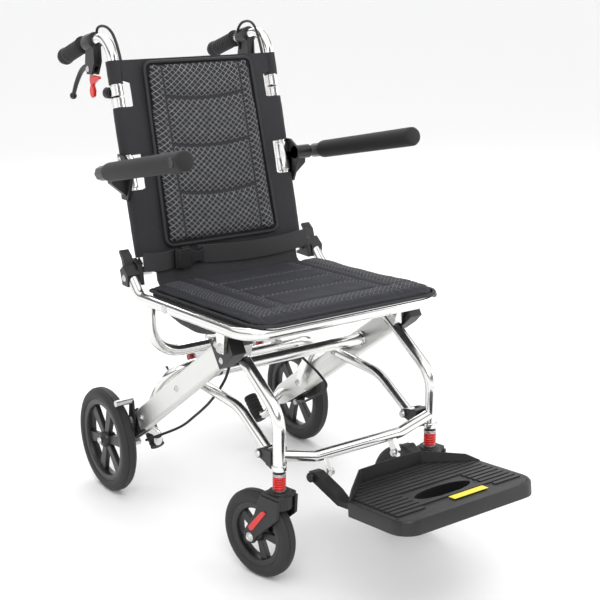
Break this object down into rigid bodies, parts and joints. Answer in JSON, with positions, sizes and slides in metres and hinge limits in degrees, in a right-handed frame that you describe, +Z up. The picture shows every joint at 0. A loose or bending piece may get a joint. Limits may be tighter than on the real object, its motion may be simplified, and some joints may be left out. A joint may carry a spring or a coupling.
{
  "type": "transport wheelchair",
  "caption": "Folding transport wheelchair: slanted beams, castered legs, padded seat and back, push handles, brakes, armrests and footplate.",
  "frame": {"origin": "on the floor under the middle of the chair's overall box", "axes": "+Z up, the sitter faces -Y, the sitter's right side is -X"},
  "size_m": [0.491, 1.0118, 0.8506],
  "materials": {
    "polished_tube": "polished",
    "satin_beam": "satin",
    "black_plastic": "matte",
    "black_rubber": "matte",
    "tyre": "matte",
    "red_plastic": "gloss",
    "spring_red": "gloss",
    "black_fabric": "woven",
    "belt": "woven"
  },
  "bodies": {
    "rear_frame": {"rear_hoop": "polished_tube", "beam_brace": "polished_tube", "beam_right": "satin_beam", "hinge_block_right": "black_plastic", "axle_bracket_right": "black_plastic", "tipping_step_right": "black_plastic", "cable_frame_right": "black_rubber", "beam_left": "satin_beam", "hinge_block_left": "black_plastic", "axle_bracket_left": "black_plastic", "tipping_step_left": "black_plastic", "cable_frame_left": "black_rubber"},
    "front_frame": {"front_frame": "polished_tube", "clevis_right": "black_plastic", "spring_right": "spring_red", "clevis_left": "black_plastic", "spring_left": "spring_red"},
    "seat_frame": {"seat_frame": "polished_tube", "seat_sling": "black_fabric", "seat_cushion": "black_fabric", "back_hinge_right": "black_plastic", "back_hinge_left": "black_plastic"},
    "back_frame": {"back_frame": "polished_tube", "back_upholstery": "black_fabric", "back_pad": "black_fabric", "belt_right": "belt", "belt_left": "belt", "arm_bracket_right": "black_plastic", "cable_back_right": "black_rubber", "arm_bracket_left": "black_plastic", "cable_back_left": "black_rubber"},
    "footrest": {"footplate": "black_plastic"},
    "rear_wheel_right": {"rear_tyre_right": "tyre", "rear_rim_right": "black_plastic"},
    "brake_arm_right": {"brake_arm_right": "black_plastic"},
    "stay_right": {"stay_right": "polished_tube"},
    "caster_fork_right": {"fork_right": "black_plastic"},
    "caster_wheel_right": {"caster_tyre_right": "tyre", "caster_rim_right": "black_plastic"},
    "catch_right": {"catch_right": "red_plastic"},
    "armrest_right": {"armrest_right": "black_rubber"},
    "push_handle_right": {"handle_tube_right": "polished_tube", "grip_right": "black_rubber", "brake_clamp_right": "black_plastic"},
    "brake_lever_right": {"brake_lever_right": "black_plastic"},
    "parking_lock_right": {"parking_lock_right": "red_plastic"},
    "rear_wheel_left": {"rear_tyre_left": "tyre", "rear_rim_left": "black_plastic"},
    "brake_arm_left": {"brake_arm_left": "black_plastic"},
    "stay_left": {"stay_left": "polished_tube"},
    "caster_fork_left": {"fork_left": "black_plastic"},
    "caster_wheel_left": {"caster_tyre_left": "tyre", "caster_rim_left": "black_plastic"},
    "catch_left": {"catch_left": "red_plastic"},
    "armrest_left": {"armrest_left": "black_rubber"},
    "push_handle_left": {"handle_tube_left": "polished_tube", "grip_left": "black_rubber", "brake_clamp_left": "black_plastic"},
    "brake_lever_left": {"brake_lever_left": "black_plastic"},
    "parking_lock_left": {"parking_lock_left": "red_plastic"}
  },
  "joints": [
    {"name": "frame_fold", "type": "hinge", "parent": "rear_frame", "child": "front_frame", "pos_m": [0, -0.1247, 0.384], "axis": [1, 0, 0], "range_deg": [0, 36]},
    {"name": "seat_fold", "type": "hinge", "parent": "rear_frame", "child": "seat_frame", "pos_m": [0, -0.1247, 0.384], "axis": [1, 0, 0], "range_deg": [0, 65]},
    {"name": "back_fold", "type": "hinge", "parent": "seat_frame", "child": "back_frame", "pos_m": [0, 0.1973, 0.441], "axis": [1, 0, 0], "range_deg": [0, 92]},
    {"name": "footrest_fold", "type": "hinge", "parent": "front_frame", "child": "footrest", "pos_m": [0, -0.2367, 0.178], "axis": [-1, 0, 0], "range_deg": [0, 72]},
    {"name": "rear_wheel_right_spin", "type": "hinge", "parent": "rear_frame", "child": "rear_wheel_right", "pos_m": [-0.22, 0.2683, 0.1], "axis": [1, 0, 0], "continuous": true},
    {"name": "brake_arm_right_press", "type": "hinge", "parent": "rear_frame", "child": "brake_arm_right", "pos_m": [-0.196, 0.20907, 0.15268], "axis": [-1, 0, 0], "range_deg": [0, 4], "stiffness_Nm_per_rad": 2, "springref_deg": -11.46},
    {"name": "stay_right_fold", "type": "hinge", "parent": "front_frame", "child": "stay_right", "pos_m": [-0.148, -0.1777, 0.214], "axis": [1, 0, 0], "range_deg": [-58, 0]},
    {"name": "caster_right_swivel", "type": "hinge", "parent": "front_frame", "child": "caster_fork_right", "pos_m": [-0.158, -0.2227, 0.16], "axis": [0, 0, 1], "continuous": true},
    {"name": "caster_wheel_right_spin", "type": "hinge", "parent": "caster_fork_right", "child": "caster_wheel_right", "pos_m": [-0.16736, -0.17868, 0.075], "axis": [0.9781, 0.2079, 0], "continuous": true},
    {"name": "catch_right_release", "type": "hinge", "parent": "seat_frame", "child": "catch_right", "pos_m": [-0.076, 0.1153, 0.305], "axis": [1, 0, 0], "range_deg": [0, 25], "stiffness_Nm_per_rad": 0.5, "springref_deg": -22.92},
    {"name": "armrest_right_lift", "type": "hinge", "parent": "back_frame", "child": "armrest_right", "pos_m": [-0.229, 0.2153, 0.619], "axis": [-1, 0, 0], "range_deg": [0, 90]},
    {"name": "handle_right_fold", "type": "hinge", "parent": "back_frame", "child": "push_handle_right", "pos_m": [-0.166, 0.28906, 0.7398], "axis": [-1, 0, 0], "range_deg": [0, 85]},
    {"name": "brake_lever_right_squeeze", "type": "hinge", "parent": "push_handle_right", "child": "brake_lever_right", "pos_m": [-0.166, 0.3773, 0.784], "axis": [1, 0, 0], "range_deg": [0, 20], "stiffness_Nm_per_rad": 0.4, "springref_deg": -22.92},
    {"name": "parking_lock_right_set", "type": "hinge", "parent": "push_handle_right", "child": "parking_lock_right", "pos_m": [-0.166, 0.3693, 0.7655], "axis": [1, 0, 0], "range_deg": [0, 25]},
    {"name": "rear_wheel_left_spin", "type": "hinge", "parent": "rear_frame", "child": "rear_wheel_left", "pos_m": [0.22, 0.2683, 0.1], "axis": [1, 0, 0], "continuous": true},
    {"name": "brake_arm_left_press", "type": "hinge", "parent": "rear_frame", "child": "brake_arm_left", "pos_m": [0.196, 0.20907, 0.15268], "axis": [-1, 0, 0], "range_deg": [0, 4], "stiffness_Nm_per_rad": 2, "springref_deg": -11.46},
    {"name": "stay_left_fold", "type": "hinge", "parent": "front_frame", "child": "stay_left", "pos_m": [0.148, -0.1777, 0.214], "axis": [1, 0, 0], "range_deg": [-58, 0]},
    {"name": "caster_left_swivel", "type": "hinge", "parent": "front_frame", "child": "caster_fork_left", "pos_m": [0.158, -0.2227, 0.16], "axis": [0, 0, 1], "continuous": true},
    {"name": "caster_wheel_left_spin", "type": "hinge", "parent": "caster_fork_left", "child": "caster_wheel_left", "pos_m": [0.14864, -0.17868, 0.075], "axis": [0.9781, 0.2079, 0], "continuous": true},
    {"name": "catch_left_release", "type": "hinge", "parent": "seat_frame", "child": "catch_left", "pos_m": [0.076, 0.1153, 0.305], "axis": [1, 0, 0], "range_deg": [0, 25], "stiffness_Nm_per_rad": 0.5, "springref_deg": -22.92},
    {"name": "armrest_left_lift", "type": "hinge", "parent": "back_frame", "child": "armrest_left", "pos_m": [0.229, 0.2153, 0.619], "axis": [-1, 0, 0], "range_deg": [0, 90]},
    {"name": "handle_left_fold", "type": "hinge", "parent": "back_frame", "child": "push_handle_left", "pos_m": [0.166, 0.28906, 0.7398], "axis": [-1, 0, 0], "range_deg": [0, 85]},
    {"name": "brake_lever_left_squeeze", "type": "hinge", "parent": "push_handle_left", "child": "brake_lever_left", "pos_m": [0.166, 0.3773, 0.784], "axis": [1, 0, 0], "range_deg": [0, 20], "stiffness_Nm_per_rad": 0.4, "springref_deg": -22.92},
    {"name": "parking_lock_left_set", "type": "hinge", "parent": "push_handle_left", "child": "parking_lock_left", "pos_m": [0.166, 0.3693, 0.7655], "axis": [1, 0, 0], "range_deg": [0, 25]}
  ],
  "couplings": [
    {"joint": "seat_fold", "follows": "frame_fold", "ratio": 1.8},
    {"joint": "stay_right_fold", "follows": "frame_fold", "ratio": -1.6},
    {"joint": "stay_left_fold", "follows": "frame_fold", "ratio": -1.6}
  ]
}
